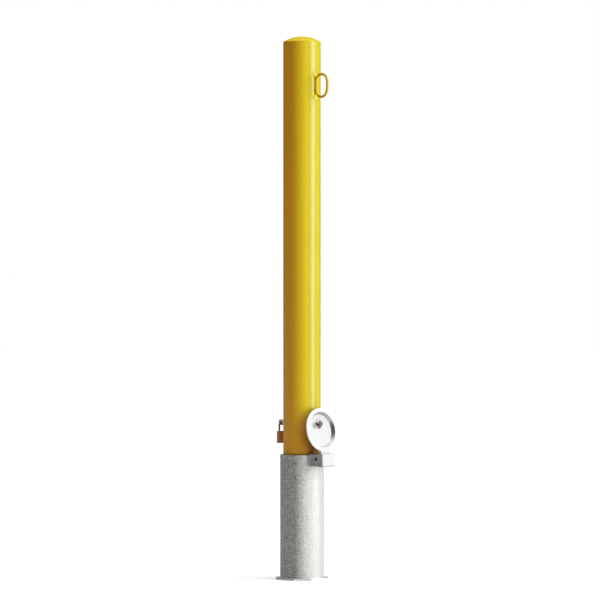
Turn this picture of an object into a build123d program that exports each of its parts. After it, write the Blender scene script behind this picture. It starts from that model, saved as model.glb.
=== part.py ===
from build123d import *
import math
import os

# Post
post_dia = 76.3
post_wall = 3.2
post_height = 850.0
post_rest_gap = 0.1
cap_rise = 11.5
cap_seam = 0.5
cap_steps = 3

# Chain ring on the post
ring_rod = 5.4
ring_width = 33.0
ring_height = 45.8
ring_corner = 15.5
ring_bends = 3
ring_below_top = 101.5
ring_sunk = 1.4

# Ground sleeve and its anchor plate
sleeve_gap = 3.2
sleeve_wall = 3.2
sleeve_length = 250.0
plate_margin = 5.45
plate_thickness = 3.2
plate_corner = 25.0
drain_dia = 10.0
drain_offset = 22.0

# Hinge bracket welded to the sleeve
bracket_reach = 31.5
bracket_width = 38.7
bracket_depth = 22.0
bracket_front_wall = 4.5
bracket_slot_floor = 7.5
bracket_bevel = 1.2
hinge_drop = 10.0
hinge_out = 13.45
hinge_pin_dia = 4.0
hinge_pin_recess = 4.6

# Lid, described closed over the sleeve and then swung open
lid_rim = 3.0
lid_edge_gap = 0.35
recess_rim = 8.05
recess_slope = 4.5
recess_depth = 6.9
lid_floor = 2.2
dish_wall = 2.4
dish_draft = 2.8
lid_edge_round = 0.5
neck_width = 24.0
neck_side_gap = 0.4
knuckle_dia = 12.0
running_gap = 0.1
lid_open_angle = 80.0
collar_dia = 18.5
collar_proud = 1.2
lid_hole_dia = 13.6
stop_dia = 8.0
stop_offset = 14.0
stop_gap = 0.4

# Lock bolt and its guides in the post
bolt_dia = 12.0
bolt_level = 64.0
bolt_proud = 3.7
bolt_tip_bevel = 1.5
bolt_hole_dia = 6.5
bolt_tail = 6.0
tang_length = 15.0
tang_thickness = 6.0
bush_dia = 18.0
bush_length = 10.0
stop_collar_size = 20.0
stop_collar_length = 6.0
stop_collar_travel = 6.0
collar_pin_dia = 3.0

# Hasp lug welded to the back of the post
lug_thickness = 3.0
lug_height = 11.0
lug_side_gap = 0.4
lug_hole_setback = 6.4
lug_shackle_gap = 0.35

# Padlock
padlock_out = 19.15
shackle_dia = 3.5
shackle_spacing = 14.5
shackle_rise = 19.0
shackle_bends = 6
toe_depth = 6.0
heel_depth = 20.0
heel_end = 0.75
hang_gap = 0.15
case_width = 22.0
case_thickness = 9.5
case_height = 24.5
case_corner = 1.4
case_bevel = 0.5
leg_gap = 0.15
plug_dia = 6.4
plug_length = 9.0
keyway_width = 1.2
keyway_height = 4.4
small_pin_dia = 1.5
groove_depth = 0.8
small_pin_gap = 0.1
plug_pin_level = 3.0
open_travel = 9.0
latch_level = 3.4
latch_width = 3.0
latch_height = 3.0
latch_length = 5.0
latch_gap = 0.3
latch_slack = 0.1
spring_leaf = 0.4
spring_gap = 0.3

# Sizes that follow from the ones above
sleeve_dia = post_dia + 2 * sleeve_gap + 2 * sleeve_wall
plate_width = sleeve_dia + 2 * plate_margin
ground = plate_thickness + sleeve_length
post_radius = post_dia / 2
sleeve_radius = sleeve_dia / 2
padlock_radius = post_radius + padlock_out
post_bottom = plate_thickness + post_rest_gap
post_top = ground + post_height
tube_top = post_top - cap_rise
bolt_z = ground + bolt_level
bolt_radius = bolt_dia / 2
tip_x = post_radius + bolt_proud
tail_x = -(padlock_radius + bolt_tail)
hinge_x = sleeve_radius + hinge_out
bracket_front = sleeve_radius + bracket_reach
lid_top = ground + lid_rim
hinge_z = lid_top - hinge_drop
bracket_floor = ground - bracket_depth
knuckle_radius = knuckle_dia / 2
mouth_radius = sleeve_radius - recess_rim
floor_radius = mouth_radius - recess_slope
floor_top = lid_top - recess_depth
floor_bottom = floor_top - lid_floor
leg_y = shackle_spacing / 2
wire_radius = shackle_dia / 2
arch_inner = leg_y - wire_radius
tang_half = tang_thickness / 2
arch_sag = arch_inner - math.sqrt(arch_inner ** 2 - tang_half ** 2)
arch_z = bolt_z - bolt_hole_dia / 2 + arch_sag + hang_gap - arch_inner
case_top = arch_z + leg_y + wire_radius - shackle_rise
case_bottom = case_top - case_height
plug_top = case_bottom + plug_length
latch_z = case_top - latch_level
heel_pin_z = case_top - heel_depth + heel_end + open_travel + small_pin_dia / 2 + small_pin_gap
lug_end_x = -(padlock_radius - wire_radius - lug_shackle_gap)
stop_collar_x = -(post_radius - bush_length) + stop_collar_travel


def rod(radius, start, end):
    """Round bar from one point to another."""
    start = Vector(*start)
    end = Vector(*end)
    plane = Plane(origin=start, z_dir=end - start)
    return extrude(plane * Circle(radius), amount=(end - start).length)


def block(x, y, z):
    """Square block, each side given as its low and high end."""
    middle = Pos((x[0] + x[1]) / 2, (y[0] + y[1]) / 2, (z[0] + z[1]) / 2)
    return middle * Box(x[1] - x[0], y[1] - y[0], z[1] - z[0])


def turned(points):
    """Solid turned about the upright axis from a closed outline of radius and height."""
    outline = Polyline(*[(r, 0, z) for r, z in points], close=True)
    return revolve(make_face(outline), Axis.Z, 360)


def pipe(outer_radius, wall, low, high):
    """Upright pipe."""
    outer = rod(outer_radius, (0, 0, low), (0, 0, high))
    return outer - rod(outer_radius - wall, (0, 0, low - 1), (0, 0, high + 1))


def bolt_path(radius, start, end):
    """Round bar on the lock bolt's line."""
    return rod(radius, (start, 0, bolt_z), (end, 0, bolt_z))


def anchor_plate():
    """Square plate with its corners cut off and two drain holes inside the sleeve."""
    half = plate_width / 2
    plate = block((-half, half), (-half, half), (0, plate_thickness))
    plate = chamfer(plate.edges().filter_by(Axis.Z), plate_corner)
    for x in (-drain_offset, drain_offset):
        plate -= rod(drain_dia / 2, (x, 0, -1), (x, 0, plate_thickness + 1))
    return plate


def sleeve_tube():
    """Pipe cast into the ground, standing on the anchor plate."""
    return pipe(sleeve_radius, sleeve_wall, plate_thickness, ground)


def hinge_bracket():
    """Block on the sleeve with two ears and a slot for the lid's neck."""
    half = bracket_width / 2
    body = block((0, bracket_front), (-half, half), (bracket_floor, lid_top))
    body = chamfer(body.edges().filter_by(Axis.Z).group_by(Axis.X)[-1], bracket_bevel)
    body = chamfer(body.edges().filter_by(GeomType.LINE).group_by(Axis.Z)[-1].sort_by(Axis.X)[1:], bracket_bevel / 2)
    body -= rod(sleeve_radius, (0, 0, bracket_floor - 1), (0, 0, ground + 1))
    body -= rod(sleeve_radius + lid_edge_gap, (0, 0, ground), (0, 0, lid_top + 1))
    slot_half = neck_width / 2 + neck_side_gap
    slot_low = bracket_floor + bracket_slot_floor
    body -= block((0, bracket_front - bracket_front_wall), (-slot_half, slot_half), (slot_low, lid_top + 1))
    return body - rod(hinge_pin_dia / 2, (hinge_x, -half - 1, hinge_z), (hinge_x, half + 1, hinge_z))


def hinge_pin():
    """Plain pin pressed into both ears, its ends below their faces."""
    reach = bracket_width / 2 - hinge_pin_recess
    return rod(hinge_pin_dia / 2, (hinge_x, -reach, hinge_z), (hinge_x, reach, hinge_z))


def lid_disc():
    """Closed lid's dished disc."""
    edge = sleeve_radius - lid_edge_gap
    dish = mouth_radius + dish_wall
    outline = [
        (0, floor_bottom),
        (dish - dish_draft, floor_bottom),
        (dish, ground),
        (edge, ground),
        (edge, lid_top - lid_edge_round),
        (edge - lid_edge_round, lid_top),
        (mouth_radius, lid_top),
        (floor_radius, floor_top),
        (0, floor_top),
    ]
    return turned(outline)


def lid():
    """Cast lid with its neck, knuckle, bolt hole and two stops that lean on the post."""
    half = neck_width / 2
    disc = lid_disc()
    inner = mouth_radius + dish_wall / 2
    neck = block((0, hinge_x), (-half, half), (ground, lid_top)) - rod(inner, (0, 0, ground - 1), (0, 0, lid_top + 1))
    web = block((hinge_x - knuckle_radius, hinge_x), (-half, half), (hinge_z, lid_top))
    knuckle = rod(knuckle_radius, (hinge_x, -half, hinge_z), (hinge_x, half, hinge_z))
    body = disc + neck + web + knuckle
    bore = hinge_pin_dia / 2 + running_gap
    body -= rod(bore, (hinge_x, -half - 1, hinge_z), (hinge_x, half + 1, hinge_z))
    body = body.rotate(Axis((hinge_x, 0, hinge_z), (0, 1, 0)), lid_open_angle)
    floor_x = lid_floor_x(floor_top)
    body += bolt_path(collar_dia / 2, floor_x - lid_floor, floor_x + collar_proud + lid_hole_lean())
    for side in (-1, 1):
        body += lid_stop(side)
    return body - bolt_path(lid_hole_dia / 2, tip_x - bolt_dia, floor_x + collar_dia)


def lid_floor_x(level):
    """Where a level of the closed lid stands on the bolt's line once the lid is open."""
    angle = math.radians(lid_open_angle)
    above = level - hinge_z
    out = (bolt_z - hinge_z - above * math.cos(angle)) / math.sin(angle)
    return hinge_x - out * math.cos(angle) + above * math.sin(angle)


def lid_hole_lean():
    """How far the leaning floor rises across half the collar."""
    return collar_dia / 2 * math.tan(math.radians(90 - lid_open_angle))


def lid_stop(side):
    """Cast stop on the lid's back, ending just clear of the post."""
    nearest = stop_offset - stop_dia / 2
    face = math.sqrt(post_radius ** 2 - nearest ** 2) + stop_gap
    root = lid_floor_x(floor_bottom) + lid_floor / 2
    return rod(stop_dia / 2, (face, side * stop_offset, bolt_z), (root, side * stop_offset, bolt_z))


def post_tube():
    """Main pipe, open at the foot, with two cross holes for the bolt's bushes."""
    tube = pipe(post_radius, post_wall, post_bottom, tube_top)
    return tube - bolt_path(bush_dia / 2, -post_dia, post_dia)


def dome(radius, rise, base):
    """Outline points of a shallow dome from its edge up to its crown."""
    curve = (radius ** 2 + rise ** 2) / (2 * rise)
    sweep_angle = math.asin(radius / curve)
    points = []
    for step in range(cap_steps + 1):
        angle = sweep_angle * (1 - step / cap_steps)
        points.append((curve * math.sin(angle), base + rise - curve * (1 - math.cos(angle))))
    return points


def post_cap():
    """Solid cap with a shallow dome, welded on the pipe's end, its edge eased at the seam."""
    outline = dome(post_radius, cap_rise - cap_seam, tube_top + cap_seam)
    return turned([(0, tube_top), (post_radius - cap_seam, tube_top)] + outline)


def bend(x, z, radius, start, sweep_angle, steps):
    """Points round a bend in an upright plane, angles in degrees from the first direction."""
    points = []
    for step in range(steps + 1):
        angle = math.radians(start + sweep_angle * step / steps)
        points.append((x + radius * math.cos(angle), z + radius * math.sin(angle)))
    return points


def bent_bar(points, radius, closed):
    """Round bar along a bent line."""
    path = Polyline(*points, close=closed)
    first = Plane(origin=path.edges()[0] @ 0.5, z_dir=path.edges()[0] % 0.5)
    return sweep(first * Circle(radius), path=path, transition=Transition.RIGHT)


def chain_ring():
    """Closed oval ring of round bar, its inner side welded along the post."""
    inner_x = post_radius + ring_rod / 2 - ring_sunk
    outer_x = inner_x + ring_width
    middle = post_top - ring_below_top
    low = middle - ring_height / 2
    high = middle + ring_height / 2
    corners = [
        (outer_x - ring_corner, high - ring_corner, 0),
        (inner_x + ring_corner, high - ring_corner, 90),
        (inner_x + ring_corner, low + ring_corner, 180),
        (outer_x - ring_corner, low + ring_corner, 270),
    ]
    points = []
    for x, z, start in corners:
        points += [(px, 0, pz) for px, pz in bend(x, z, ring_corner, start, 90, ring_bends)]
    ring = bent_bar(points, ring_rod / 2, True)
    return ring - rod(post_radius, (0, 0, low - ring_rod), (0, 0, high + ring_rod))


def bush(direction):
    """Guide bush let into the post's wall, flush outside."""
    body = bolt_path(bush_dia / 2, direction * (post_radius - bush_length), direction * post_radius)
    body = body & rod(post_radius, (0, 0, bolt_z - bush_dia), (0, 0, bolt_z + bush_dia))
    return body - bolt_path(bolt_radius + running_gap, -post_dia, post_dia)


def hasp_lug():
    """Flat lug beside the bolt's tail with a hole for the padlock in the locked place."""
    near = bolt_radius + lug_side_gap
    z = (bolt_z - lug_height / 2, bolt_z + lug_height / 2)
    body = block((lug_end_x, 0), (near, near + lug_thickness), z)
    body = chamfer(body.edges().filter_by(Axis.Y).group_by(Axis.X)[0], lug_height / 6)
    body -= rod(post_radius, (0, 0, bolt_z - lug_height), (0, 0, bolt_z + lug_height))
    hole_x = lug_end_x + lug_hole_setback
    return body - rod(bolt_hole_dia / 2, (hole_x, 0, bolt_z), (hole_x, 2 * near, bolt_z))


def lock_bolt():
    """Round bolt through the post, flattened and cross drilled at its tail."""
    body = bolt_path(bolt_radius, tail_x, tip_x)
    body = chamfer(body.edges().filter_by(GeomType.CIRCLE), bolt_tip_bevel)
    for side in (-1, 1):
        y = sorted((side * tang_half, side * bolt_dia))
        body -= block((tail_x - 1, tail_x + tang_length), y, (bolt_z - bolt_dia, bolt_z + bolt_dia))
    body -= rod(bolt_hole_dia / 2, (-padlock_radius, -bolt_dia, bolt_z), (-padlock_radius, bolt_dia, bolt_z))
    return body - collar_pin()


def collar_pin():
    """Pin through the stop collar and the bolt."""
    x = stop_collar_x + stop_collar_length / 2
    reach = stop_collar_size / 2 - bolt_tip_bevel
    return rod(collar_pin_dia / 2, (x, 0, bolt_z - reach), (x, 0, bolt_z + reach))


def stop_collar():
    """Square collar that meets the rear bush when the bolt is drawn right back."""
    half = stop_collar_size / 2
    x = (stop_collar_x, stop_collar_x + stop_collar_length)
    body = block(x, (-half, half), (bolt_z - half, bolt_z + half))
    body -= bolt_path(bolt_radius, stop_collar_x - 1, stop_collar_x + stop_collar_length + 1)
    x = stop_collar_x + stop_collar_length / 2
    return body - rod(collar_pin_dia / 2, (x, 0, bolt_z - bush_dia), (x, 0, bolt_z + bush_dia))


def padlock_shackle():
    """Bent bar through the bolt's tail, short toe on one side and long heel on the other."""
    x = -padlock_radius
    arch = [(x, y, z) for y, z in bend(0, arch_z, leg_y, 180, -180, shackle_bends)]
    points = [(x, -leg_y, case_top - toe_depth)] + arch + [(x, leg_y, case_top - heel_depth)]
    body = bent_bar(points, wire_radius, False)
    low = latch_z - latch_height / 2 - latch_gap
    high = latch_z + latch_height / 2 + latch_gap
    notch_y = -arch_inner - groove_depth
    body -= block((x - wire_radius, x + wire_radius), (notch_y, 0), (low, high))
    top = heel_pin_z + small_pin_dia / 2 + small_pin_gap
    groove_y = arch_inner + groove_depth
    heel_low = case_top - heel_depth + heel_end
    return body - block((x - wire_radius, x + wire_radius), (0, groove_y), (heel_low, top))


def heel_pin():
    """Cross pin in the heel's groove, which keeps the shackle in the case."""
    return small_pin(arch_inner + groove_depth - small_pin_gap - small_pin_dia / 2, heel_pin_z)


def plug_pin():
    """Cross pin in the plug's ring groove."""
    y = plug_dia / 2 - groove_depth + small_pin_gap + small_pin_dia / 2
    return small_pin(y, case_bottom + plug_pin_level)


def small_pin(y, z):
    """Pin across the case, its ends flush."""
    half = case_thickness / 2
    return rod(small_pin_dia / 2, (-padlock_radius - half, y, z), (-padlock_radius + half, y, z))


def plug_bar(radius, low, high):
    """Round bar on the key plug's axis."""
    return rod(radius, (-padlock_radius, 0, low), (-padlock_radius, 0, high))


def padlock_plug():
    """Key plug with a keyway in its lower end and a ring groove for its pin."""
    body = plug_bar(plug_dia / 2, case_bottom, plug_top)
    low = case_bottom + plug_pin_level - small_pin_dia / 2 - small_pin_gap
    high = case_bottom + plug_pin_level + small_pin_dia / 2 + small_pin_gap
    body -= plug_bar(plug_dia, low, high) - plug_bar(plug_dia / 2 - groove_depth, low, high)
    half = keyway_width / 2
    x = (-padlock_radius - half, -padlock_radius + half)
    y = (-keyway_height / 2, keyway_height / 2)
    return body - block(x, y, (case_bottom - 1, plug_top - keyway_width))


def latch_channel():
    """Space in the case for the latch and its spring."""
    y = (-arch_inner - wire_radius, arch_inner - spring_gap)
    half = latch_width / 2 + latch_slack
    rise = latch_height / 2 + latch_slack
    x = (-padlock_radius - half, -padlock_radius + half)
    return block(x, y, (latch_z - rise, latch_z + rise))


def latch():
    """Sliding latch, drawn back out of the toe's notch."""
    low = -arch_inner + latch_gap
    half = latch_width / 2
    x = (-padlock_radius - half, -padlock_radius + half)
    body = block(x, (low, low + latch_length), (latch_z - latch_height / 2, latch_z + latch_height / 2))
    return chamfer(body.edges().filter_by(Axis.X).group_by(Axis.Y)[0].sort_by(Axis.Z)[-1:], latch_height / 3)


def latch_spring():
    """Bent leaf spring behind the latch."""
    start = -arch_inner + latch_gap + latch_length + spring_gap
    end = arch_inner - 2 * spring_gap
    rise = latch_height / 2 - spring_gap
    middle = (start + end) / 2
    leaf = [
        (start, latch_z - rise),
        (middle, latch_z + rise),
        (end, latch_z - rise),
        (end, latch_z - rise + 2 * spring_leaf),
        (middle, latch_z + rise + spring_leaf / 2),
        (start, latch_z - rise + 2 * spring_leaf),
    ]
    outline = Polyline(*[(-padlock_radius - latch_width / 2, y, z) for y, z in leaf], close=True)
    return extrude(make_face(outline), amount=latch_width, dir=(1, 0, 0))


def padlock_case():
    """Solid case with two shackle holes, a plug bore, a latch channel and pin holes."""
    half_w = case_width / 2
    half_t = case_thickness / 2
    x = -padlock_radius
    body = block((x - half_t, x + half_t), (-half_w, half_w), (case_bottom, case_top))
    body = chamfer(body.edges().filter_by(Axis.Z), case_corner)
    rims = body.edges().group_by(Axis.Z)
    body = chamfer(rims[0] + rims[-1], case_bevel)
    hole = wire_radius + leg_gap
    body -= rod(hole, (x, -leg_y, case_top - toe_depth - leg_gap), (x, -leg_y, case_top + 1))
    body -= rod(hole, (x, leg_y, case_top - heel_depth - leg_gap), (x, leg_y, case_top + 1))
    body -= plug_bar(plug_dia / 2 + running_gap, case_bottom - 1, plug_top + running_gap)
    body -= latch_channel()
    return body - heel_pin() - plug_pin()


nodes = {
    "anchor_plate": anchor_plate(),
    "sleeve_tube": sleeve_tube(),
    "hinge_bracket": hinge_bracket(),
    "hinge_pin": hinge_pin(),
    "lid": lid(),
    "post_tube": post_tube(),
    "post_cap": post_cap(),
    "chain_ring": chain_ring(),
    "front_bush": bush(1),
    "rear_bush": bush(-1),
    "hasp_lug": hasp_lug(),
    "lock_bolt": lock_bolt(),
    "stop_collar": stop_collar(),
    "collar_pin": collar_pin(),
    "padlock_shackle": padlock_shackle(),
    "padlock_case": padlock_case(),
    "padlock_plug": padlock_plug(),
    "latch": latch(),
    "latch_spring": latch_spring(),
    "heel_pin": heel_pin(),
    "plug_pin": plug_pin(),
}

os.makedirs("parts", exist_ok=True)
for name, solid in nodes.items():
    export_step(solid, f"parts/{name}.step")
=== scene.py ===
"""Finishes of a removable bollard, most with light and shade painted into their colours: painted post,
galvanised sleeve, cast lid, lock bolt and padlock.
"""

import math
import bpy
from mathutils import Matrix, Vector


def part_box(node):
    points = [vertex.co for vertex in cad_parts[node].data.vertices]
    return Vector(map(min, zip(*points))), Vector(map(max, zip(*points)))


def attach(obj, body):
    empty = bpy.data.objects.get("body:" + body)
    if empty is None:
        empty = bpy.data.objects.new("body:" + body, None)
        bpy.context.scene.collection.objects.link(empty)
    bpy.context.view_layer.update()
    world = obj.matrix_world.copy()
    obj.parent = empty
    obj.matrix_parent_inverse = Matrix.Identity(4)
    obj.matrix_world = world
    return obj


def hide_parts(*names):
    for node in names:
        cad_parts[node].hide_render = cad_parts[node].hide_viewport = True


bl_info = {
    "name": "Removable Bollard",
    "version": (1, 0, 0),
    "blender": (4, 5, 0),
    "location": "View3D > Sidebar > Bollard",
    "description": "Dresses a removable bollard with its finishes, welds, floor and lights",
    "category": "Object",
}

import bpy
from bpy.props import FloatProperty, FloatVectorProperty, PointerProperty
from mathutils import Vector

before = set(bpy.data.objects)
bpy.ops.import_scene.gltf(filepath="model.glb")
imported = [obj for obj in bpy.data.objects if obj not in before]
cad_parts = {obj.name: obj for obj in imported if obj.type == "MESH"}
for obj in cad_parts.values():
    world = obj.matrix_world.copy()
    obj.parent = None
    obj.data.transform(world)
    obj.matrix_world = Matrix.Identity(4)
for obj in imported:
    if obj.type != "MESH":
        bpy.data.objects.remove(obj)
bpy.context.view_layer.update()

MM = 0.001
WELD_STEP = 0.4 * MM
FULL_TURN = 360
VIEW_AZIMUTH = math.radians(44)
TO_CAMERA = Vector((math.sin(VIEW_AZIMUTH), -math.cos(VIEW_AZIMUTH), 0))
TO_RIGHT = Vector((math.cos(VIEW_AZIMUTH), math.sin(VIEW_AZIMUTH), 0))
TO_FRONT = Vector((0, -1, 0))
TO_LID = Vector((1, 0, 0))
UP = Vector((0, 0, 1))

POST_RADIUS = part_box("post_tube")[1].x
SLEEVE_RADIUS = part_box("sleeve_tube")[1].x
SLEEVE_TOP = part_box("sleeve_tube")[1].z
PLATE_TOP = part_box("anchor_plate")[1].z
RING_BOTTOM, RING_TOP = (corner.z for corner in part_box("chain_ring"))
BRACKET_LOW, BRACKET_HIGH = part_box("hinge_bracket")
PIN_LOW, PIN_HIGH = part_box("hinge_pin")
BOLT_HEIGHT = sum(corner.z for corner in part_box("lock_bolt")) / 2

# Places that marks are measured from: the post's side toward the lid, at the sleeve's mouth and at the
# ring's ends, the middle of the open lid's recess, and the lid's hole, which lies on the bolt's line.
FOOT = Vector((POST_RADIUS, 0, SLEEVE_TOP))
RING_START = Vector((POST_RADIUS, 0, RING_BOTTOM))
RING_END = Vector((POST_RADIUS, 0, RING_TOP))
RECESS = Vector((FOOT.x + 16.35 * MM, 0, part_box("lid")[1].z - 43.98 * MM))
HOLE = Vector((RECESS.x - 4 * MM, 0, BOLT_HEIGHT))

# Marks: the place, the offset from it, the radius of the full mark and that of its end, the last
# three in millimetres.
MARKS = {
    # Painted shadow of the lid on the post, kept off its foot.
    "behind_lid": (FOOT, (1.85, 0, 38.8), 10, 48),
    "round_lid": (FOOT, (5.85, 0, 31.8), 43, 74),
    "clear_foot": (FOOT, (-1.65, 12, 4.3), 5, 13),
    # Painted light on the post under the ring's bends.
    "ring_bottom": (RING_START, (-0.15, -2, 6.4), 4, 10),
    "ring_top": (RING_END, (-0.15, -2, -7.8), 4, 10),
    # The lid's recess, crease, slope, floor and hole, where the lid's painted shade and light go.
    "lid_inside": (RECESS, (0, 0, 0), 37.8, 38.6),
    "lid_crease": (RECESS, (0, 0, 0), 34.8, 36.2),
    "lid_slope": (RECESS, (0, 0, 0), 32.6, 34.0),
    "lid_floor": (RECESS, (0, 0, 0), 30.0, 31.5),
    "lid_hole": (HOLE, (0, 0, 0), 6.9, 7.6),
    # Painted shadow beside the lid's hole and along its left edge.
    "painted_shadow_by_hole": (HOLE, (0, -14, -3.7), 2, 10.5),
    "high_hole_edge_shadow": (HOLE, (0, -9.8, 0.8), 1, 3.6),
    "low_hole_edge_shadow": (HOLE, (0.7, -7.2, -3), 1.2, 3.6),
    # Orange-brown patch painted at the hole, standing for the shaded post seen through it.
    "painted_see_through": (HOLE, (0.9, -2, -6.8), 3, 5.6),
}


def horizontal(turn):
    """Level direction, turned so many degrees from the camera toward the image's right."""
    angle = math.radians(turn)
    return TO_CAMERA * math.cos(angle) + TO_RIGHT * math.sin(angle)


def color_property(name, description, default):
    """Colour that a user can change."""
    return FloatVectorProperty(name=name, description=description, default=default, subtype="COLOR", size=3,
                               min=0.0, max=1.0)


def length_property(name, description, default):
    """Length that a user can change."""
    return FloatProperty(name=name, description=description, default=default, unit="LENGTH", min=0.0,
                         precision=5)


class BollardPaint(bpy.types.PropertyGroup):
    """Colours and texture of the paint, in lit, shaded and far-lit copies painted by how it faces the key
    light, and a painted shadow of the lid.
    """

    lit: color_property("Paint in the light", "Yellow of the post's bright side", (0.680, 0.532, 0.010))
    painted_shade: color_property("Paint in the shade", "Deeper yellow of the post's dark side", (0.51, 0.240, 0.006))
    painted_far_light: color_property("Paint past the light", "Paint on the right, round past the brightest part",
                         (0.585, 0.512, 0.010))
    # The chain ring's paint, also in painted lit and shaded copies.
    ring_lit: color_property("Lit ring", "Chain ring's paint facing the light", (0.66, 0.45, 0.012))
    ring_painted_shade: color_property("Ring", "Chain ring's paint turned away", (0.47, 0.190, 0.003))
    # Painted shadow of the lid, low on the post behind it.
    painted_lid_shadow: color_property("Painted lid shadow", "Shadow of the lid, painted low on the post",
                           (0.23, 0.078, 0.003))
    orange_peel: length_property("Orange peel", "Size of the paint's fine waves", 0.0016)
    cloud: length_property("Cloud", "Size of the paint's soft clouds", 0.05)


class BollardMetals(bpy.types.PropertyGroup):
    """Colours and grain of the bare metals, with painted lit colours for the bracket's nose and the padlock
    case and a painted patch at the lid's hole.
    """

    zinc: color_property("Zinc", "Galvanised steel", (0.775, 0.79, 0.755))
    # Painted light: the lit colour of the bracket's nose, its face toward the key light.
    painted_lit_zinc: color_property("Painted lit zinc", "Rounded nose of the hinge bracket", (0.785, 0.785, 0.785))
    spangle: length_property("Spangle", "Size of the zinc's crystals", 0.0062)
    zinc_grain: length_property("Zinc grain", "Size of the grain within the crystals", 0.0019)
    casting: color_property("Casting", "Cast aluminium of the lid", (0.78, 0.78, 0.78))
    # Orange-brown patch painted at the lid's hole, standing for the shaded post seen through it.
    painted_see_through: color_property("Painted see-through", "Stain at the lid's hole", (0.23, 0.110, 0.014))
    sand: length_property("Sand", "Size of the casting's grain", 0.0009)
    stainless: color_property("Stainless", "Lock bolt and pins", (0.38, 0.38, 0.36))
    brass: color_property("Brass", "Padlock case", (0.235, 0.132, 0.036))
    # Painted light: the lit colour of the padlock case on its side toward the lid and the key light.
    brass_lit: color_property("Warm brass", "Padlock case toward the lid", (0.47, 0.155, 0.036))
    bronze: color_property("Shackle", "Padlock shackle", (0.110, 0.055, 0.016))
    dark: color_property("Dark steel", "Hinge pin", (0.012, 0.012, 0.012))


class BollardWelds(bpy.types.PropertyGroup):
    """Sizes of the weld beads."""

    bead: length_property("Bead", "Radius of a weld bead", 0.0013)
    ripple: length_property("Ripple", "Distance between a bead's ripples", 0.0022)


class BollardStudio(bpy.types.PropertyGroup):
    """Lights and camera."""

    distance: length_property("Camera distance", "From the post's axis to the camera", 7.0)
    eye_height: length_property("Camera height", "Camera height over the floor", 0.5674)
    focal_pixels: FloatProperty(name="Focal length", description="In pixels of a 600 pixel wide image",
                                default=3440.5, min=1.0)
    panel_strength: FloatProperty(name="Panel light",
                                  description="Power of the tall soft panel on the right",
                                  default=150.0, min=0.0)
    strip_strength: FloatProperty(name="Highlight",
                                  description="Power of the strip that only reflections show",
                                  default=285.0, min=0.0)
    top_strength: FloatProperty(name="Top light", description="Strength of the soft light from above",
                                default=3.25, min=0.0)
    sky_strength: FloatProperty(name="Sky", description="Strength of the even light all round",
                                default=0.03, min=0.0)
    light_distance: length_property("Light distance", "From the post's axis to the panel and the strip", 4.0)
    light_middle: length_property("Light middle", "Height of the middle of both", 2.32)
    light_height: length_property("Light height", "Height of both from end to end", 4.6)


class Value:
    """A node's output that can be used in sums."""

    def __init__(self, nodes, socket):
        self.nodes = nodes
        self.socket = socket

    def math(self, operation, *values):
        return self.nodes.node("ShaderNodeMath", {"operation": operation}, dict(enumerate(values)))

    def __add__(self, other):
        return self.math("ADD", self, other)

    def __radd__(self, other):
        return self.math("ADD", other, self)

    def __sub__(self, other):
        return self.math("SUBTRACT", self, other)

    def __rsub__(self, other):
        return self.math("SUBTRACT", other, self)

    def __mul__(self, other):
        return self.math("MULTIPLY", self, other)

    def __rmul__(self, other):
        return self.math("MULTIPLY", other, self)

    def __truediv__(self, other):
        return self.math("DIVIDE", self, other)

    def __rtruediv__(self, other):
        return self.math("DIVIDE", other, self)

    def size(self):
        """Without its sign."""
        return self.math("ABSOLUTE", self)

    def at_least(self, least):
        return self.math("MAXIMUM", self, least)

    def at_most(self, most):
        return self.math("MINIMUM", self, most)

    def limited(self):
        """Kept between 0 and 1."""
        return self.at_least(0.0).at_most(1.0)

    def ramp(self, start, end):
        """0 at the start and 1 at the end, and straight on past both."""
        return (self - start) / (end - start)

    def step(self, start, end):
        """0 up to the start, 1 from the end on. The end may be the lower one."""
        return self.ramp(start, end).limited()


class Nodes:
    """The node tree of a material or a world."""

    def __init__(self, owner):
        owner.use_nodes = True
        self.tree = owner.node_tree
        self.tree.nodes.clear()

    def node(self, kind, settings=None, values=None, output=0):
        """Adds a node, sets its settings first, then its sockets, and gives one output if it has any."""
        node = self.tree.nodes.new(kind)
        for name, setting in (settings or {}).items():
            setattr(node, name, setting)
        for name, value in (values or {}).items():
            self.set(node.inputs[name], value)
        return Value(self, node.outputs[output]) if node.outputs else None

    def set(self, socket, value):
        """Links a value to a socket, or sets a number, a vector or a colour on it."""
        if isinstance(value, Value):
            self.tree.links.new(value.socket, socket)
        elif socket.type == "RGBA":
            socket.default_value = (*value, 1.0)
        else:
            socket.default_value = value


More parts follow.
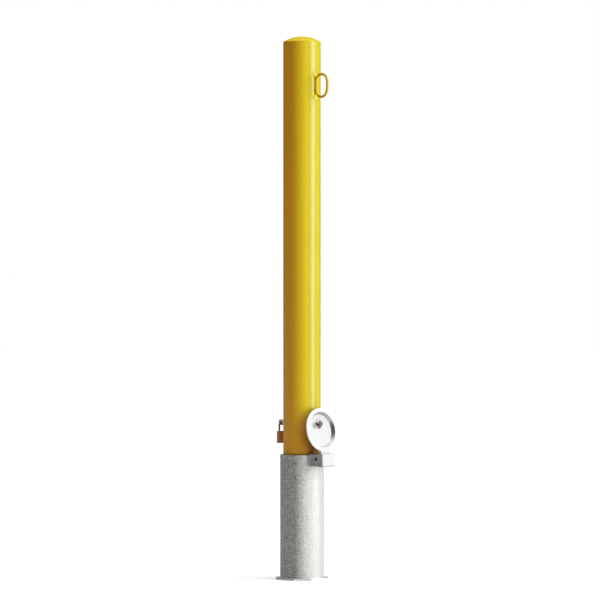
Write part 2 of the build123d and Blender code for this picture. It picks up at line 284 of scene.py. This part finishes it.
class Finish(Nodes):
    """One material and the nodes that make it."""

    def __init__(self, name):
        self.material = bpy.data.materials.new(name)
        super().__init__(self.material)

    def place(self):
        """Place on the piece, in its own frame."""
        return self.node("ShaderNodeTexCoord", output="Object")

    def split(self, vector):
        """The three parts of a vector."""
        first = self.node("ShaderNodeSeparateXYZ", values={"Vector": vector})
        return [Value(self, part) for part in first.socket.node.outputs]

    def facing(self, direction):
        """How far the surface faces a direction of its own frame, from -1 to 1."""
        normal = self.node("ShaderNodeTexCoord", output="Normal")
        return self.node("ShaderNodeVectorMath", {"operation": "DOT_PRODUCT"},
                         {0: normal, 1: tuple(direction)}, output="Value")

    def mark(self, name):
        """1 within a mark of the list, 0 past its end."""
        place, offset, full, end = MARKS[name]
        middle = place + Vector(offset) * MM
        away = self.node("ShaderNodeVectorMath", {"operation": "DISTANCE"},
                         {0: self.place(), 1: tuple(middle)}, output="Value")
        bounds = {"From Min": full * MM, "From Max": end * MM, "To Min": 1.0, "To Max": 0.0}
        return self.node("ShaderNodeMapRange", {"interpolation_type": "SMOOTHSTEP"},
                         {"Value": away, **bounds})

    def noise(self, size, detail):
        """Soft noise from 0 to 1 with waves of a size in metres."""
        values = {"Vector": self.place(), "Scale": 1.0 / size, "Detail": detail}
        return self.node("ShaderNodeTexNoise", values=values)

    def cells(self, size):
        """Cells of a size in metres, each with a random number from 0 to 1."""
        values = {"Vector": self.place(), "Scale": 1.0 / size}
        return self.brightness(self.node("ShaderNodeTexVoronoi", values=values, output="Color"))

    def brightness(self, color):
        """First channel of a colour, as a number."""
        return self.node("ShaderNodeSeparateColor", values={0: color})

    def between(self, factor, first, second):
        """Colour between two colours."""
        settings = {"data_type": "RGBA", "clamp_factor": True}
        return self.node("ShaderNodeMix", settings, {0: factor, 6: first, 7: second}, output=2)

    def scaled(self, color, amount):
        """Colour made darker or lighter."""
        return self.node("ShaderNodeVectorMath", {"operation": "SCALE"}, {0: color, 3: amount})

    def bump(self, height, depth):
        """Relief of a height map, its depth in metres."""
        return self.node("ShaderNodeBump", values={"Height": height, "Distance": depth, "Strength": 1.0})

    def finish(self, **sockets):
        """Makes the shader from its sockets, underscores standing for spaces, and gives the material."""
        values = {name.replace("_", " "): value for name, value in sockets.items()}
        shader = self.node("ShaderNodeBsdfPrincipled", values=values)
        self.node("ShaderNodeOutputMaterial", values={0: shader})
        return self.material


def darkened(amount, *shades):
    """The amount times 1 less each mask's share. A share below 0 makes it lighter."""
    for mask, share in shades:
        amount = amount * (1 - mask * share)
    return amount


def paint_finish(name, lit, painted_far_light, painted_shade):
    """Glossy paint with a faint orange peel, its colour painted from the shaded copy to the lit one as it
    turns to the key light.
    """
    paint = bpy.context.scene.bollard_paint
    finish = Finish(name)
    cloud = finish.noise(paint.cloud, 3.0)
    waves = finish.noise(paint.orange_peel, 2.0)
    x = finish.split(finish.place())[0]

    # Painted light and shade: where the surface faces, and where it is clear of the lid, which shades it.
    upward = finish.facing(UP).limited()
    across = finish.facing(TO_RIGHT)
    clear_of_lid_shadow = 1 - finish.mark("round_lid")
    toward_key = (finish.facing(horizontal(62)).ramp(-0.02, 0.70) + upward * 1.5).limited()
    past_key = across.step(0.42, 0.72) * toward_key
    # Painted shade on the left side, on the sides turned fully left and right, and in the band where the
    # highlight falls.
    left = across.step(-0.4, -0.7)
    rims = across.size().step(0.85, 0.95)
    band = finish.facing(horizontal(32)).step(0.962, 0.988)

    # Painted shadow of the lid low behind it, and painted light under the ring's bends, against the ring's
    # shade, not on the ring itself.
    painted_lid_shadow = (finish.mark("behind_lid") - finish.mark("clear_foot") * 0.8).limited().at_most(0.65)
    contact = finish.mark("ring_top") + finish.mark("ring_bottom")
    contact = contact * x.step(POST_RADIUS + 0.55 * MM, POST_RADIUS + 0.05 * MM)

    shade = finish.between(toward_key * clear_of_lid_shadow, tuple(painted_shade), tuple(lit))
    shade = finish.between(past_key * clear_of_lid_shadow, shade, tuple(painted_far_light))
    shade = finish.between(painted_lid_shadow, shade, tuple(paint.painted_lid_shadow))
    level = darkened(0.96 + cloud * 0.08, (left, 0.11), (band, 0.16), (rims, 0.13), (contact, -0.6))
    return finish.finish(Base_Color=finish.scaled(shade, level), Roughness=0.5 + cloud * 0.06,
                         Specular_IOR_Level=0.08, Coat_Weight=0.3 - rims * 0.18, Coat_Roughness=0.2,
                         Normal=finish.bump(waves, 0.01 * MM))


def bracket_shades(finish, x, y, z, nose):
    """Masks of the bracket's painted shade and light, each with its share."""
    low, high = BRACKET_LOW, BRACKET_HIGH
    middle, half = (low + high) / 2, (high - low) / 2
    off_middle = y.size()

    # Painted shade along the edges round the side faces.
    across = (x - middle.x).size() / half.x
    up = (z - middle.z).size() / half.z
    border = across.ramp(0.91, 0.96).at_least(up.ramp(0.86, 0.94)).limited()
    turned = finish.facing(TO_FRONT).ramp(0.8, 1.0)
    side = (turned * off_middle.step(high.y - 0.35 * MM, high.y - 0.1 * MM)).limited()
    edges = (border * side * (2 - across).limited() * (2 - up).limited()).limited()

    # Painted shade in and round the pin's hole in them.
    pin = (PIN_LOW + PIN_HIGH) / 2
    radius = PIN_HIGH.x - pin.x + 1.3 * MM
    from_pin = (x - pin.x) * (x - pin.x) + (z - pin.z) * (z - pin.z)
    hole = from_pin.step(radius ** 2, radius ** 2 - MM ** 2)
    hole = hole * off_middle.step(PIN_HIGH.y - 1.75 * MM, PIN_HIGH.y - 0.75 * MM)

    # Painted shade along the lower edge, and a painted highlight along the upper one on the nose.
    low_edge = x.step(high.x - 13.5 * MM, high.x - 12.5 * MM) * z.step(low.z + 1.3 * MM, low.z + 0.9 * MM)
    low_edge = low_edge * z.step(low.z - 3.2 * MM, low.z - 2.2 * MM)
    crown = z.step(high.z - 1.7 * MM, high.z - 0.7 * MM) * nose
    return (edges, 0.25), (hole, 0.97), (low_edge, 0.75), (crown, -0.2), (nose, 0.08)


def painted_shadow_beside_bracket(x, y, z):
    """Mask of the painted shadow on the sleeve beside the bracket."""
    outer, inner = (SLEEVE_RADIUS + 0.62 * MM) ** 2, (SLEEVE_RADIUS + 0.34 * MM) ** 2
    on_sleeve = (x * x + y * y).step(outer, inner) * x.step(30 * MM, 32 * MM)
    beside = y.size().step(BRACKET_HIGH.y + 7.55 * MM, BRACKET_HIGH.y + 0.05 * MM) * on_sleeve
    return beside * z.step(BRACKET_LOW.z - 1.7 * MM, BRACKET_LOW.z + 1.6 * MM)


def zinc_finish():
    """Galvanised steel with its crystal pattern and fine grain, and light and shade painted into its colour.
    """
    metals = bpy.context.scene.bollard_metals
    finish = Finish("galvanised")
    x, y, z = finish.split(finish.place())
    # Painted light: the bracket's nose, which faces the key light, has a lit colour of its own, a slightly
    # darker tone and a weaker mottle.
    nose = x.step(BRACKET_HIGH.x - 6 * MM, BRACKET_HIGH.x - 5 * MM)

    # Painted light and shade by where the surface faces, darker under the highlight and on the side turned
    # far to the right, and painted light that the plate throws on the sleeve's foot.
    toward_key = finish.facing(horizontal(66)).ramp(0.09, 0.52)
    lit = toward_key.limited()
    brightest = toward_key.step(1.2, 1.9)
    band = finish.facing(horizontal(33)).step(0.975, 0.995)
    turned_off = finish.facing(horizontal(100)).step(0.84, 0.98)
    foot = z.step(PLATE_TOP + 12.8 * MM, PLATE_TOP + 2.8 * MM) * 0.09
    foot = foot + z.step(PLATE_TOP + 1.3 * MM, PLATE_TOP + 0.3 * MM) * 0.16

    # The crystals' mottle is weaker in the light and on the bracket's nose.
    crystals = finish.cells(metals.spangle)
    small = finish.cells(metals.spangle * 0.28)
    grain = finish.noise(metals.zinc_grain, 3.0)
    mottle = crystals * 0.08 + small * 0.54 + grain * 0.38 - 0.5
    mottle = mottle * (1.5 - lit * 0.75 - brightest * 0.45) * (1 - nose * 0.7)

    level = (0.335 + lit * 0.42 - band * 0.08 - turned_off * 0.14 + foot) * (1 + mottle)
    level = darkened(level, *bracket_shades(finish, x, y, z, nose), (painted_shadow_beside_bracket(x, y, z), 0.6))
    color = finish.between(nose, tuple(metals.zinc), tuple(metals.painted_lit_zinc))
    return finish.finish(Base_Color=finish.scaled(color, level), Metallic=0.2,
                         Roughness=0.42 + crystals * 0.14 + grain * 0.06, Specular_IOR_Level=0.1,
                         Normal=finish.bump(crystals * 0.5 + grain * 0.5, 0.04 * MM))


def casting_finish():
    """Bright cast aluminium, finely sand cast, with light and shade painted into its colour."""
    metals = bpy.context.scene.bollard_metals
    finish = Finish("cast_aluminium")
    sand = finish.noise(metals.sand, 3.0)
    cloud = finish.noise(20 * MM, 2.0)
    z = finish.split(finish.place())[2]

    # The recess inside the rim is dark where its wall turns from the light, and so is the hole.
    inside = finish.mark("lid_inside")
    rim = 1 - inside
    recess = inside - finish.mark("lid_floor")
    sideways = finish.facing(TO_FRONT).step(0.62, 0.83)
    wall = (sideways * 0.88).at_least(finish.facing(UP) * -0.72).limited()
    # Painted shade along the crease low in the recess.
    crease = finish.mark("lid_crease") - finish.mark("lid_slope")
    crease = crease * z.step(RECESS.z - 26.5 * MM, RECESS.z - 29.8 * MM)
    # Painted shadow along the hole's left edge.
    hole_edge_shadow = (finish.mark("high_hole_edge_shadow") + finish.mark("low_hole_edge_shadow")).limited()

    shade = wall * (recess + finish.mark("lid_hole") * 0.24) + crease * 0.28
    # Add a soft painted shadow beside the hole, to its lower left, and the one along its edge.
    shade = shade + finish.mark("painted_shadow_by_hole") * 0.55 + hole_edge_shadow * 0.8
    # The rim outside the recess is painted lighter, as its highlight.
    level = (0.855 + cloud * 0.04 + sand * 0.03 + rim * 0.08) * (1 - shade.limited())
    # Orange-brown patch painted at the hole, standing for the shaded post seen through it.
    color = finish.between(finish.mark("painted_see_through"), finish.scaled(tuple(metals.casting), level),
                           tuple(metals.painted_see_through))
    return finish.finish(Base_Color=color, Metallic=0.0, Roughness=0.5 + sand * 0.12,
                         Specular_IOR_Level=0.1, Normal=finish.bump(sand, 0.03 * MM))


def plain_metal_finish(name, color, grain_size, rough, metallic, lit=None):
    """Machined metal with fine grain, that goes to its painted lit colour, if it has one, on the side toward
    the lid, which faces the key light.
    """
    finish = Finish(name)
    grain = finish.noise(grain_size, 3.0)
    cloud = finish.noise(6 * MM, 2.0)
    base = finish.between(finish.facing(TO_LID).limited(), tuple(color), tuple(lit or color))
    tone = finish.scaled(base, 0.86 + grain * 0.12 + cloud * 0.14)
    return finish.finish(Base_Color=tone, Metallic=metallic, Roughness=rough + grain * 0.1,
                         Normal=finish.bump(grain, 0.01 * MM))


def dress(names, material):
    """Gives carried-over pieces a material."""
    for name in names:
        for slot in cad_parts[name].material_slots:
            slot.material = material


def mesh_piece(name, vertices, faces, material, body, sharp=math.radians(35)):
    """New smooth piece that rides on a body."""
    mesh = bpy.data.meshes.new(name)
    mesh.from_pydata([tuple(v) for v in vertices], [], faces)
    mesh.validate()
    mesh.materials.append(material)
    mesh.shade_smooth()
    piece = bpy.data.objects.new(name, mesh)
    bpy.context.scene.collection.objects.link(piece)
    mesh.set_sharp_from_angle(angle=sharp)
    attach(piece, body)
    return piece


def bar_mesh(points, radii, sides, closed):
    """Vertices and faces of a round bar along points, with a radius at each."""
    count = len(points)
    vertices = []
    faces = []
    normal = None
    for i, point in enumerate(points):
        before = points[(i - 1) % count] if closed or i else point
        after = points[(i + 1) % count] if closed or i < count - 1 else point
        along = (after - before).normalized()
        if normal is None:
            normal = along.orthogonal()
        normal = (normal - along * normal.dot(along)).normalized()
        side = along.cross(normal)
        for k in range(sides):
            angle = 2 * math.pi * k / sides
            vertices.append(point + radii[i] * (normal * math.cos(angle) + side * math.sin(angle)))
    spans = count if closed else count - 1
    for i in range(spans):
        j = (i + 1) % count
        for k in range(sides):
            m = (k + 1) % sides
            faces.append((i * sides + k, i * sides + m, j * sides + m, j * sides + k))
    if not closed:
        faces.append(tuple(reversed(range(sides))))
        faces.append(tuple(range((count - 1) * sides, count * sides)))
    return vertices, faces


def turned_mesh(outline, sides):
    """Vertices and faces turned about the post's axis from pairs of radius and height."""
    vertices = []
    faces = []
    rings = []
    for radius, height in outline:
        if radius == 0:
            rings.append([len(vertices)])
            vertices.append(Vector((0, 0, height)))
            continue
        ring = []
        for k in range(sides):
            angle = 2 * math.pi * k / sides
            ring.append(len(vertices))
            vertices.append(Vector((radius * math.cos(angle), radius * math.sin(angle), height)))
        rings.append(ring)
    for low, high in zip(rings, rings[1:]):
        for k in range(sides):
            m = (k + 1) % sides
            if len(low) == 1:
                faces.append((low[0], high[m], high[k]))
            elif len(high) == 1:
                faces.append((low[k], low[m], high[0]))
            else:
                faces.append((low[k], low[m], high[m], high[k]))
    return vertices, faces


class BOLLARD_OT_stage(bpy.types.Operator):
    """Floor, lights, sky and camera"""

    bl_idname = "bollard.stage"
    bl_label = "Studio"

    def execute(self, context):
        studio = context.scene.bollard_studio
        self.add_floor()
        self.add_lights(studio)
        self.add_sky(context.scene, studio)
        self.add_camera(context.scene, studio)
        context.scene.view_settings.view_transform = "Standard"
        return {"FINISHED"}

    @staticmethod
    def add_floor():
        """Plain pale floor that runs on to the horizon."""
        finish = Finish("floor")
        white = finish.finish(Base_Color=(0.97, 0.97, 0.97), Roughness=0.95, Specular_IOR_Level=0.0)
        near, far = 3.0, 30.0
        vertices, faces = turned_mesh([(0, 0), (near, 0), (far, 0)], sides=96)
        mesh = bpy.data.meshes.new("floor")
        mesh.from_pydata([tuple(v) for v in vertices], [], faces)
        mesh.materials.append(white)
        floor = bpy.data.objects.new("floor", mesh)
        bpy.context.scene.collection.objects.link(floor)

    @staticmethod
    def add_lights(studio):
        """Soft light from above, a tall panel on the right, and a strip that only reflections show."""
        top = bpy.data.lights.new("top", "SUN")
        top.energy = studio.top_strength
        top.angle = math.radians(60)
        bpy.context.scene.collection.objects.link(bpy.data.objects.new("top", top))
        for name, turn, width, power, diffuse in (("panel", 67, 2.1, studio.panel_strength, True),
                                                  ("strip", 71, 1.5, studio.strip_strength, False)):
            light = bpy.data.lights.new(name, "AREA")
            light.shape = "RECTANGLE"
            light.size = width
            light.size_y = studio.light_height
            light.energy = power
            lamp = bpy.data.objects.new(name, light)
            lamp.location = horizontal(turn) * studio.light_distance + Vector((0, 0, studio.light_middle))
            lamp.rotation_mode = "QUATERNION"
            lamp.rotation_quaternion = horizontal(turn).to_track_quat("Z", "Y")
            lamp.visible_diffuse = diffuse
            bpy.context.scene.collection.objects.link(lamp)

    @staticmethod
    def add_sky(scene, studio):
        """Faint even light, and plain white where the camera sees past the floor."""
        world = bpy.data.worlds.new("sky")
        scene.world = world
        sky = Nodes(world)
        white = (1.0, 1.0, 1.0)
        light = sky.node("ShaderNodeBackground", values={"Color": white, "Strength": studio.sky_strength})
        seen = sky.node("ShaderNodeBackground", values={"Color": white, "Strength": 1.0})
        by_camera = sky.node("ShaderNodeLightPath", output="Is Camera Ray")
        mix = sky.node("ShaderNodeMixShader", values={0: by_camera, 1: light, 2: seen})
        sky.node("ShaderNodeOutputWorld", values={0: mix})

    @staticmethod
    def add_camera(scene, studio):
        """Level camera, its image's width and its shift in pixels."""
        image_width = 600.0
        shift = -2.0
        data = bpy.data.cameras.new("camera")
        data.sensor_width = 36.0
        data.lens = data.sensor_width * studio.focal_pixels / image_width
        data.shift_x = shift / image_width
        data.clip_end = 200.0
        camera = bpy.data.objects.new("camera", data)
        camera.location = TO_CAMERA * studio.distance + Vector((0, 0, studio.eye_height))
        camera.rotation_euler = (math.radians(90), 0, VIEW_AZIMUTH)
        scene.collection.objects.link(camera)
        scene.camera = camera


def path_points(*corners, step):
    """Points along straight runs between corners, about a step apart."""
    points = []
    for start, end in zip(corners, corners[1:]):
        start = Vector(start)
        end = Vector(end)
        count = max(2, round((end - start).length / step))
        points += [start.lerp(end, i / count) for i in range(count)]
    return points + [Vector(corners[-1])]


def arc_points(center, first, second, radius, start, turn, count):
    """Points round an arc that starts toward first and turns toward second, angles in degrees."""
    points = []
    for i in range(count + 1):
        angle = math.radians(start + turn * i / count)
        toward = Vector(first) * math.cos(angle) + Vector(second) * math.sin(angle)
        points.append(Vector(center) + radius * toward)
    return points


def level_arc(height, radius, start, turn, count):
    """Arc about the post's axis."""
    return arc_points((0, 0, height), (1, 0, 0), (0, 1, 0), radius, start, turn, count)


def weld(name, points, material, body, closed=False):
    """Rippled weld bead along points, thinner at its ends if it has any."""
    sizes = bpy.context.scene.bollard_welds

    # Shares of the bead's radius between ripples and at an end, and how soon it is full from there.
    valley = 0.82
    tip = 0.45
    swell = 8

    lengths = [0.0]
    for before, after in zip(points, points[1:]):
        lengths.append(lengths[-1] + (after - before).length)
    total = lengths[-1] + ((points[0] - points[-1]).length if closed else 0.0)
    ripples = max(1, round(total / sizes.ripple))
    radii = []
    for length in lengths:
        wave = abs(math.sin(math.pi * ripples * length / total))
        taper = 1.0 if closed else min(1.0, tip + swell * min(length, total - length) / total)
        radii.append(sizes.bead * (valley + (1 - valley) * wave) * taper)
    vertices, faces = bar_mesh(points, radii, sides=10, closed=closed)
    return mesh_piece(name, vertices, faces, material, body, sharp=math.radians(60))


class BOLLARD_OT_post(bpy.types.Operator):
    """Painted post with its domed cap, chain ring, hasp lug and their welds"""

    bl_idname = "bollard.post"
    bl_label = "Painted post"

    def execute(self, context):
        colors = context.scene.bollard_paint
        paint = paint_finish("yellow_paint", colors.lit, colors.painted_far_light, colors.painted_shade)
        ring_paint = paint_finish("ring_paint", colors.ring_lit, colors.ring_lit, colors.ring_painted_shade)
        dress(("post_tube", "post_cap", "hasp_lug"), paint)
        dress(("chain_ring",), ring_paint)
        self.add_cap(paint)
        self.add_ring(ring_paint, paint)
        self.add_lug_weld(paint)
        return {"FINISHED"}

    @staticmethod
    def add_cap(paint):
        """Smooth dome in place of the stepped one, and the bead that joins it to the pipe."""
        low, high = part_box("post_cap")
        seam = 0.5 * MM
        rise = high.z - low.z - seam
        curve = (POST_RADIUS ** 2 + rise ** 2) / (2 * rise)
        widest = math.asin(POST_RADIUS / curve)
        outline = [(0.0, low.z), (POST_RADIUS - seam, low.z)]
        rows = 20
        for i in range(rows + 1):
            angle = widest * (1 - i / rows)
            outline.append((curve * math.sin(angle), high.z - curve * (1 - math.cos(angle))))
        outline[-1] = (0.0, high.z)
        vertices, faces = turned_mesh(outline, sides=128)
        cap = mesh_piece("cap_dome", vertices, faces, paint, "post")
        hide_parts("post_cap")
        points = level_arc(low.z, POST_RADIUS - 0.9 * MM, 0, FULL_TURN, 640)[:-1]
        weld("cap_weld", points, paint, "post", closed=True)

    @staticmethod
    def add_ring(ring_paint, paint):
        """Smooth ring in place of the mitred one, with a weld down each side of its inner bar."""
        low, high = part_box("chain_ring")
        rod = (high.y - low.y) / 2
        corner = 15.5 * MM
        nearer = 1.4 * MM
        left = POST_RADIUS + rod - nearer
        right = high.x - rod - nearer
        bottom = low.z + rod
        top = high.z - rod
        points = []
        for x, z, start in ((right - corner, top - corner, 0), (left + corner, top - corner, 90),
                            (left + corner, bottom + corner, 180), (right - corner, bottom + corner, 270)):
            points += arc_points((x, 0, z), (1, 0, 0), (0, 0, 1), corner, start, 90, 12)
        vertices, faces = bar_mesh(points, [rod] * len(points), sides=24, closed=True)
        ring = mesh_piece("ring_bar", vertices, faces, ring_paint, "post")
        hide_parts("chain_ring")
        middle = (low.z + high.z) / 2
        half = 8 * MM
        for name, side in (("ring_weld_front", -1), ("ring_weld_back", 1)):
            x = POST_RADIUS + 0.3 * MM
            y = side * 2.4 * MM
            points = path_points((x, y, middle - half), (x, y, middle + half), step=WELD_STEP)
            weld(name, points, paint, "post")

    @staticmethod
    def add_lug_weld(paint):
        """Weld down one side of the hasp lug."""
        low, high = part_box("hasp_lug")
        y = high.y + 0.2 * MM
        x = -math.sqrt(POST_RADIUS ** 2 - y ** 2)
        inset = 0.6 * MM
        points = path_points((x, y, low.z + inset), (x, y, high.z - inset), step=WELD_STEP)
        weld("lug_weld", points, paint, "post")


class BOLLARD_OT_sleeve(bpy.types.Operator):
    """Galvanised ground sleeve, anchor plate and hinge bracket with their welds"""

    bl_idname = "bollard.sleeve"
    bl_label = "Ground sleeve"

    def execute(self, context):
        zinc = zinc_finish()
        dress(("sleeve_tube", "anchor_plate", "hinge_bracket"), zinc)
        low, high = BRACKET_LOW, BRACKET_HIGH
        x = math.sqrt(SLEEVE_RADIUS ** 2 - high.y ** 2)
        for name, side in (("bracket_weld_front", -1), ("bracket_weld_back", 1)):
            y = side * high.y
            points = path_points((x, y, low.z + 0.8 * MM), (x, y, high.z - 3.6 * MM), step=WELD_STEP)
            weld(name, points, zinc, "ground")
        reach = math.degrees(math.asin(high.y / SLEEVE_RADIUS))
        under = level_arc(low.z, SLEEVE_RADIUS, -reach, 2 * reach, 100)
        weld("bracket_weld_under", under, zinc, "ground")
        foot = level_arc(PLATE_TOP, SLEEVE_RADIUS + 0.2 * MM, 0, FULL_TURN, 700)[:-1]
        weld("foot_weld", foot, zinc, "ground", closed=True)
        return {"FINISHED"}


class BOLLARD_OT_lid(bpy.types.Operator):
    """Cast lid"""

    bl_idname = "bollard.lid"
    bl_label = "Lid"

    def execute(self, context):
        dress(("lid",), casting_finish())
        return {"FINISHED"}


class BOLLARD_OT_lock(bpy.types.Operator):
    """Lock bolt, pins and bushes, padlock case and its smooth shackle"""

    bl_idname = "bollard.lock"
    bl_label = "Bolt and padlock"

    def execute(self, context):
        metals = context.scene.bollard_metals
        fine, coarse = 0.6 * MM, 0.8 * MM
        stainless = plain_metal_finish("stainless", metals.stainless, fine, rough=0.25, metallic=0.5)
        brass = plain_metal_finish("brass", metals.brass, coarse, rough=0.32, metallic=0.6,
                                   lit=metals.brass_lit)
        bronze = plain_metal_finish("shackle_steel", metals.bronze, coarse, rough=0.22, metallic=0.7)
        dark = plain_metal_finish("dark_steel", metals.dark, coarse, rough=0.8, metallic=0.0)
        dress(("hinge_pin",), dark)
        dress(("lock_bolt", "stop_collar", "collar_pin", "front_bush", "rear_bush", "latch_spring",
               "heel_pin", "plug_pin"), stainless)
        dress(("padlock_case", "padlock_plug", "latch"), brass)
        dress(("padlock_shackle",), bronze)
        self.add_shackle(bronze)
        return {"FINISHED"}

    @staticmethod
    def add_shackle(bronze):
        """Smooth bent bar in place of the mitred one."""
        low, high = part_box("padlock_shackle")
        wire = (high.x - low.x) / 2
        x = (high.x + low.x) / 2
        leg = (high.y - low.y) / 2 - wire
        arch = high.z - wire - leg
        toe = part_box("padlock_case")[1].z - 6.0 * MM
        points = path_points((x, -leg, toe), (x, -leg, arch), step=2 * MM)
        points += arc_points((x, 0, arch), (0, 1, 0), (0, 0, 1), leg, 180, -180, 24)[1:]
        points += path_points((x, leg, arch), (x, leg, low.z), step=4 * MM)[1:]
        vertices, faces = bar_mesh(points, [wire] * len(points), sides=20, closed=False)
        shackle = mesh_piece("shackle_bar", vertices, faces, bronze, "shackle")
        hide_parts("padlock_shackle")


OPERATORS = (BOLLARD_OT_stage, BOLLARD_OT_post, BOLLARD_OT_sleeve, BOLLARD_OT_lid, BOLLARD_OT_lock)
GROUPS = {
    "bollard_paint": BollardPaint,
    "bollard_metals": BollardMetals,
    "bollard_welds": BollardWelds,
    "bollard_studio": BollardStudio,
}


class BOLLARD_PT_panel(bpy.types.Panel):
    """Buttons for each group of pieces"""

    bl_idname = "BOLLARD_PT_panel"
    bl_label = "Removable Bollard"
    bl_space_type = "VIEW_3D"
    bl_region_type = "UI"
    bl_category = "Bollard"

    def draw(self, context):
        for operator in OPERATORS:
            self.layout.operator(operator.bl_idname)
        for name, group in GROUPS.items():
            box = self.layout.box()
            values = getattr(context.scene, name)
            for key in group.__annotations__:
                box.prop(values, key)


def register():
    for group in GROUPS.values():
        bpy.utils.register_class(group)
    for name, group in GROUPS.items():
        setattr(bpy.types.Scene, name, PointerProperty(type=group))
    for operator in OPERATORS:
        bpy.utils.register_class(operator)
    bpy.utils.register_class(BOLLARD_PT_panel)


def unregister():
    bpy.utils.unregister_class(BOLLARD_PT_panel)
    for operator in reversed(OPERATORS):
        bpy.utils.unregister_class(operator)
    for name in GROUPS:
        delattr(bpy.types.Scene, name)
    for group in reversed(tuple(GROUPS.values())):
        bpy.utils.unregister_class(group)


def main():
    register()
    bpy.ops.bollard.stage()
    bpy.ops.bollard.post()
    bpy.ops.bollard.sleeve()
    bpy.ops.bollard.lid()
    bpy.ops.bollard.lock()


if __name__ == "__main__":
    main()
